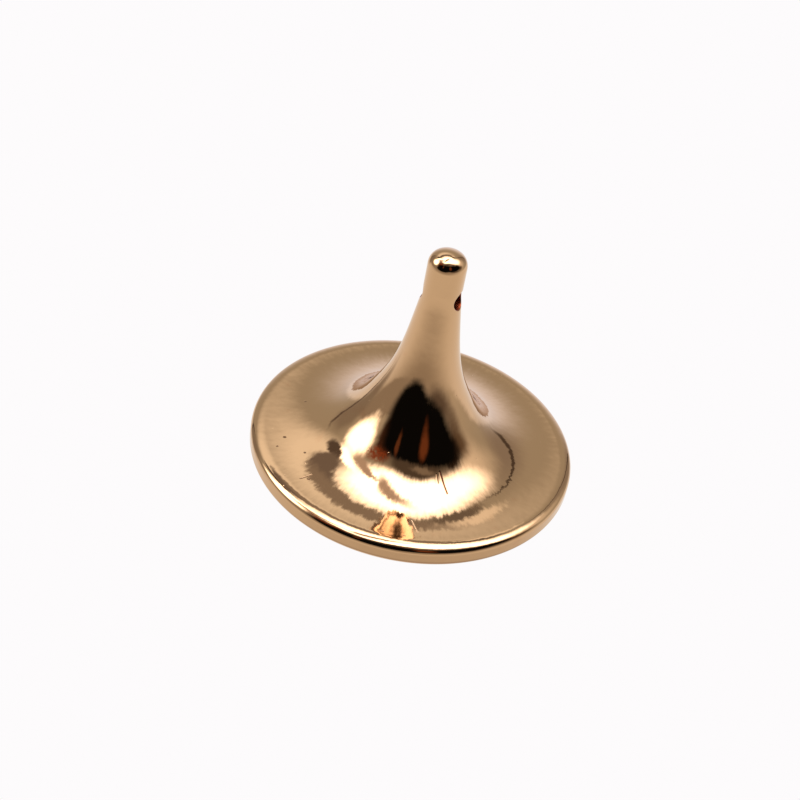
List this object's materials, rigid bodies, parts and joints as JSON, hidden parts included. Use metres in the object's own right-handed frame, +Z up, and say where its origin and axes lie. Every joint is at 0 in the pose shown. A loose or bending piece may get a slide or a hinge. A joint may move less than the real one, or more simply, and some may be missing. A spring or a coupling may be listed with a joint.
{
  "type": "spinning top",
  "caption": "Hand spinning top: a thin heavy disc with a rounded rim, a trumpet-shaped finger stem with a cord hole, and a short nose with a ball tip.",
  "frame": {"origin": "lowest point of the tip ball, where the upright top touches the ground", "axes": "+Z up along the spin axis, from the tip towards the domed end of the stem; the cord hole runs along the line 14 degrees round from +X towards -Y"},
  "size_m": [0.03, 0.03, 0.0331],
  "materials": {
    "plated_disc": "polished",
    "plated_stem": "polished",
    "plated_nose": "polished",
    "steel_ball": "polished"
  },
  "bodies": {
    "root": {"flywheel_disc": "plated_disc", "finger_stem": "plated_stem", "nose_cone": "plated_nose", "tip_ball": "steel_ball"}
  },
  "joints": []
}
